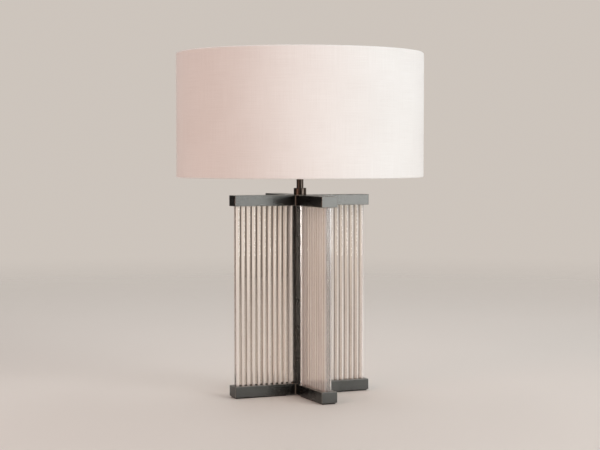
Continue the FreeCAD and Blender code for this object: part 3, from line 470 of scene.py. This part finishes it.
def linenFinish():
    material, tree, shader = startMaterial("oatmealLinen", {
        "Roughness": 0.88, "Sheen Weight": 0.12, "Sheen Roughness": 0.45,
        "Specular IOR Level": 0.25})
    waves = []
    for turn in (0, math.pi / 2):
        wave = addNode(tree, "ShaderNodeTexWave", {"wave_type": "BANDS", "bands_direction": "X"},
                       {"Scale": 1.0, "Distortion": 1.6, "Detail": 2.0, "Detail Scale": 0.12})
        tree.links.new(placeOn(tree, (520, 520, 520), (0, 0, turn), "cloth"),
                       wave.inputs["Vector"])
        waves.append(wave.outputs["Fac"])
    weave = combine(tree, "MULTIPLY", waves[0], waves[1])
    weft = noiseOn(tree, (14, 1100, 1), 3, 0.65, "cloth")
    warp = noiseOn(tree, (1100, 14, 1), 3, 0.65, "cloth")
    slub = combine(tree, "MULTIPLY", combine(tree, "ADD", weft, warp), 0.5)
    thread = tint(tree, slub, (0.815, 0.80, 0.785), (0.915, 0.91, 0.90))
    # the weave's openings between threads are painted darker, as painted shade
    gapShade = blendColours(tree, combine(tree, "MULTIPLY", weave, 0.14), thread, (0.60, 0.56, 0.52))
    cloud = noiseOn(tree, (7, 7, 7), 3, 0.5, "cloth")
    unevenness = tint(tree, cloud, (0.965, 0.955, 0.95), (1.0, 1.0, 1.0))
    tree.links.new(blendColours(tree, 1.0, gapShade, unevenness, "MULTIPLY"),
                   shader.inputs["Base Color"])
    under = raiseBump(tree, shader, slub, 0.00022, 0.7)
    raiseBump(tree, shader, weave, 0.00008, 0.5, under)
    return material


# the weave follows the cloth: round the shade one way, along its own length the other
def clothMap(shape, along, around):
    layer = shape.loops.layers.uv.new("cloth")
    for face in shape.faces:
        centre = face.calc_center_median()
        middle = math.atan2(centre.y, centre.x)
        for loop in face.loops:
            place = loop.vert.co
            angle = math.atan2(place.y, place.x)
            angle += 2 * math.pi * round((middle - angle) / (2 * math.pi))
            loop[layer].uv = (angle * around, loop.vert[along])


# the cloth's section, from the hem inside the top ring, round it, down the wall, and round
# the lower ring to its hem; returns its length
def rolledProfile(shape, along, wall, rollRadius, top, bottom, hem):
    ringTop, ringLow, inner = top - rollRadius, bottom + rollRadius, wall - rollRadius
    first = shape.verts.new((inner - rollRadius, 0, ringTop - hem))
    up = shape.verts.new((inner - rollRadius, 0, ringTop))
    shape.edges.new((first, up))
    turned = bmesh.ops.spin(shape, geom=[up], cent=(inner, 0, ringTop), axis=(0, 1, 0),
                            angle=math.pi, steps=linenShade["rollSteps"])["geom_last"]
    down = shape.verts.new((wall, 0, ringLow))
    shape.edges.new((vertsOf(turned)[0], down))
    turned = bmesh.ops.spin(shape, geom=[down], cent=(inner, 0, ringLow), axis=(0, 1, 0),
                            angle=math.pi, steps=linenShade["rollSteps"])["geom_last"]
    lowEnd = vertsOf(turned)[0]
    last = shape.verts.new((inner - rollRadius, 0, ringLow + hem))
    shape.edges.new((lowEnd, last))
    bmesh.ops.remove_doubles(shape, verts=shape.verts[:], dist=1e-6)
    vert, distance, edge = first, 0.0, None
    while True:
        vert[along] = distance
        onward = [item for item in vert.link_edges if item is not edge]
        if not onward:
            return distance
        edge = onward[0]
        distance += edge.calc_length()
        vert = edge.other_vert(vert)


linenMaterial = linenFinish()
low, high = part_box("shade_cover")
outside = high.x
shape = bmesh.new()
along = shape.verts.layers.float.new("along")
halfCloth = linenShade["thick"] / 2
clothLength = rolledProfile(shape, along, outside - halfCloth, linenShade["roll"],
                            high.z - halfCloth, low.z + halfCloth, linenShade["hem"])
bmesh.ops.spin(shape, geom=shape.verts[:] + shape.edges[:], cent=(0, 0, 0), axis=(0, 0, 1),
               angle=2 * math.pi, steps=linenShade["around"], use_merge=True)
bmesh.ops.remove_doubles(shape, verts=shape.verts[:], dist=1e-6)
bmesh.ops.recalc_face_normals(shape, faces=shape.faces[:])
clothMap(shape, along, outside)
shadeLinen = keepPiece("shadeLinen", shape, linenMaterial, "shade",
                       ("shade_cover",), 60)
thicken = shadeLinen.modifiers.new("cloth thickness", "SOLIDIFY")
thicken.thickness, thicken.offset = linenShade["thick"], 0.0

shape = bmesh.new()
along = shape.verts.layers.float.new("along")
rolledProfile(shape, along, outside + linenSeam["thick"] / 2,
              linenShade["roll"] + linenSeam["wider"], high.z + linenSeam["proud"],
              low.z - linenSeam["proud"], linenSeam["hem"])
sweep = linenSeam["wide"] / outside
start = math.radians(linenSeam["angle"]) - sweep / 2
bmesh.ops.rotate(shape, verts=shape.verts[:], cent=(0, 0, 0),
                 matrix=Matrix.Rotation(start, 3, "Z"))
bmesh.ops.spin(shape, geom=shape.verts[:] + shape.edges[:], cent=(0, 0, 0), axis=(0, 0, 1),
               angle=sweep, steps=linenSeam["steps"])
bmesh.ops.remove_doubles(shape, verts=shape.verts[:], dist=1e-6)
bmesh.ops.recalc_face_normals(shape, faces=shape.faces[:])
clothMap(shape, along, outside)
shadeSeam = keepPiece("shadeSeam", shape, linenMaterial, "shade", (), 60)
thicken = shadeSeam.modifiers.new("cloth thickness", "SOLIDIFY")
thicken.thickness, thicken.offset = linenSeam["thick"], 0.0
print("linen shade, cloth length", round(clothLength, 4))

# The floor fades into the backdrop between the two distances. Metal and glass see a room
# that is dim on the left and behind and full towards brightSide.
studio = {"floorSize": 8.0, "floorColour": (0.76, 0.715, 0.67), "fadeFrom": 0.7, "fadeTo": 4.4,
          "floorGlow": 0.02, "glowColour": (1.0, 0.93, 0.86), "backdrop": (0.610, 0.555, 0.505),
          "through": (0.95, 0.87, 0.79), "ambient": (1.0, 0.985, 0.965),
          "ambientStrength": 0.35, "brightSide": (0.80, 0.60, 0.0), "dimBelow": 0.26,
          "fullAbove": 0.80, "leastReflected": 0.04, "leastThrough": 0.16}


def floorFinish():
    material, tree, shader = startMaterial("paleFloor", {"Roughness": 0.6,
                                                        "Specular IOR Level": 0.2})
    cloud = noiseOn(tree, (0.8, 0.8, 0.8), 3, 0.5)
    colour = studio["floorColour"]
    tree.links.new(tint(tree, cloud, tuple(value * 0.98 for value in colour), colour),
                   shader.inputs["Base Color"])
    path = addNode(tree, "ShaderNodeLightPath")
    seen = combine(tree, "MAXIMUM", path.outputs["Is Camera Ray"], path.outputs["Is Glossy Ray"])
    seen = combine(tree, "MAXIMUM", seen, path.outputs["Is Transmission Ray"])
    tree.links.new(combine(tree, "MULTIPLY", seen, studio["floorGlow"]),
                   shader.inputs["Emission Strength"])
    shader.inputs["Emission Color"].default_value = (*studio["glowColour"], 1)
    length = addNode(tree, "ShaderNodeVectorMath", {"operation": "LENGTH"})
    tree.links.new(addNode(tree, "ShaderNodeTexCoord").outputs["Object"], length.inputs[0])
    fade = addNode(tree, "ShaderNodeMapRange", {"interpolation_type": "SMOOTHSTEP"},
                   {"From Min": studio["fadeFrom"], "From Max": studio["fadeTo"]})
    tree.links.new(length.outputs["Value"], fade.inputs["Value"])
    mix = addNode(tree, "ShaderNodeMixShader")
    below = addNode(tree, "ShaderNodeNewGeometry").outputs["Backfacing"]      # clear from below
    tree.links.new(combine(tree, "MAXIMUM", fade.outputs["Result"], below), mix.inputs["Fac"])
    tree.links.new(shader.outputs["BSDF"], mix.inputs[1])
    tree.links.new(addNode(tree, "ShaderNodeBsdfTransparent").outputs["BSDF"], mix.inputs[2])
    tree.links.new(mix.outputs["Shader"], tree.nodes["Material Output"].inputs["Surface"])
    return material


shape = bmesh.new()
bmesh.ops.create_grid(shape, x_segments=8, y_segments=8, size=studio["floorSize"])
mesh = bpy.data.meshes.new("floor")
shape.to_mesh(mesh)
shape.free()
mesh.materials.append(floorFinish())
floor = bpy.data.objects.new("floor", mesh)
scene.collection.objects.link(floor)


def studioWorld():
    world = bpy.data.worlds.new("studioWorld")
    world.use_nodes = True
    scene.world = world
    tree = world.node_tree
    ambient = tree.nodes["Background"]
    ambient.inputs["Color"].default_value = (*studio["ambient"], 1)
    ambient.inputs["Strength"].default_value = studio["ambientStrength"]
    path = addNode(tree, "ShaderNodeLightPath")
    seen = addNode(tree, "ShaderNodeBackground", None,
                   {"Color": (*studio["backdrop"], 1), "Strength": 1.0})
    room = addNode(tree, "ShaderNodeBackground")
    side = addNode(tree, "ShaderNodeVectorMath", {"operation": "DOT_PRODUCT"})
    side.inputs[1].default_value = studio["brightSide"]
    tree.links.new(addNode(tree, "ShaderNodeTexCoord").outputs["Generated"], side.inputs[0])
    dim = addNode(tree, "ShaderNodeMapRange", {"interpolation_type": "SMOOTHSTEP"},
                  {"From Min": studio["dimBelow"], "From Max": studio["fullAbove"],
                   "To Min": studio["leastReflected"], "To Max": 1.0})
    tree.links.new(side.outputs["Value"], dim.inputs["Value"])
    through = path.outputs["Is Transmission Ray"]
    least = combine(tree, "MULTIPLY", through, studio["leastThrough"])
    tree.links.new(combine(tree, "MAXIMUM", dim.outputs["Result"], least),
                   room.inputs["Strength"])
    tree.links.new(blendColours(tree, through, studio["backdrop"], studio["through"]),
                   room.inputs["Color"])
    bright = combine(tree, "MAXIMUM", path.outputs["Is Glossy Ray"], through)
    first = addNode(tree, "ShaderNodeMixShader")
    tree.links.new(bright, first.inputs["Fac"])
    tree.links.new(ambient.outputs["Background"], first.inputs[1])
    tree.links.new(room.outputs["Background"], first.inputs[2])
    second = addNode(tree, "ShaderNodeMixShader")
    tree.links.new(path.outputs["Is Camera Ray"], second.inputs["Fac"])
    tree.links.new(first.outputs["Shader"], second.inputs[1])
    tree.links.new(seen.outputs["Background"], second.inputs[2])
    tree.links.new(second.outputs["Shader"], tree.nodes["World Output"].inputs["Surface"])


studioWorld()

lamps = {
    "topLight": {"at": (0.5, 1.0, 3.6), "aim": (0, 0, 0.5), "size": (2.6, 2.6),
                 "power": 50, "colour": (0.97, 0.985, 1.0)},
    "keyLight": {"at": (2.55, -4.3, 1.53), "aim": (0, 0, 0.42), "size": (2.7, 3.3),
                 "power": 166, "colour": (1.0, 0.995, 0.985)},
    "fillLight": {"at": (-4.55, -1.6, 1.45), "aim": (0, 0, 0.45), "size": (2.4, 2.4),
                  "power": 78, "colour": (1.0, 0.58, 0.46)},
}
for name, facts in lamps.items():
    light = bpy.data.lights.new(name, "AREA")
    light.shape, light.size, light.size_y = "RECTANGLE", *facts["size"]
    light.energy, light.color = facts["power"], facts["colour"]
    lamp = bpy.data.objects.new(name, light)
    scene.collection.objects.link(lamp)
    lamp.location, lamp.visible_camera = facts["at"], False
    towards = Vector(facts["aim"]) - Vector(facts["at"])
    lamp.rotation_euler = towards.to_track_quat("-Z", "Y").to_euler()

# metres and radians, fitted to the outlines of the shade and the crosses
viewpoint = {"distance": 3.07464, "height": 0.49496, "pitch": 0.0470, "swing": 0.4042,
             "lens": 89.393}
camera = bpy.data.objects.new("camera", bpy.data.cameras.new("camera"))
scene.collection.objects.link(camera)
camera.data.lens, camera.data.sensor_width = viewpoint["lens"], 36.0
camera.location = (-viewpoint["distance"] * math.sin(viewpoint["swing"]),
                   -viewpoint["distance"] * math.cos(viewpoint["swing"]), viewpoint["height"])
camera.rotation_euler = (math.pi / 2 - viewpoint["pitch"], 0, -viewpoint["swing"])
scene.camera = camera
scene.view_settings.view_transform = "Standard"
print("studio and camera")
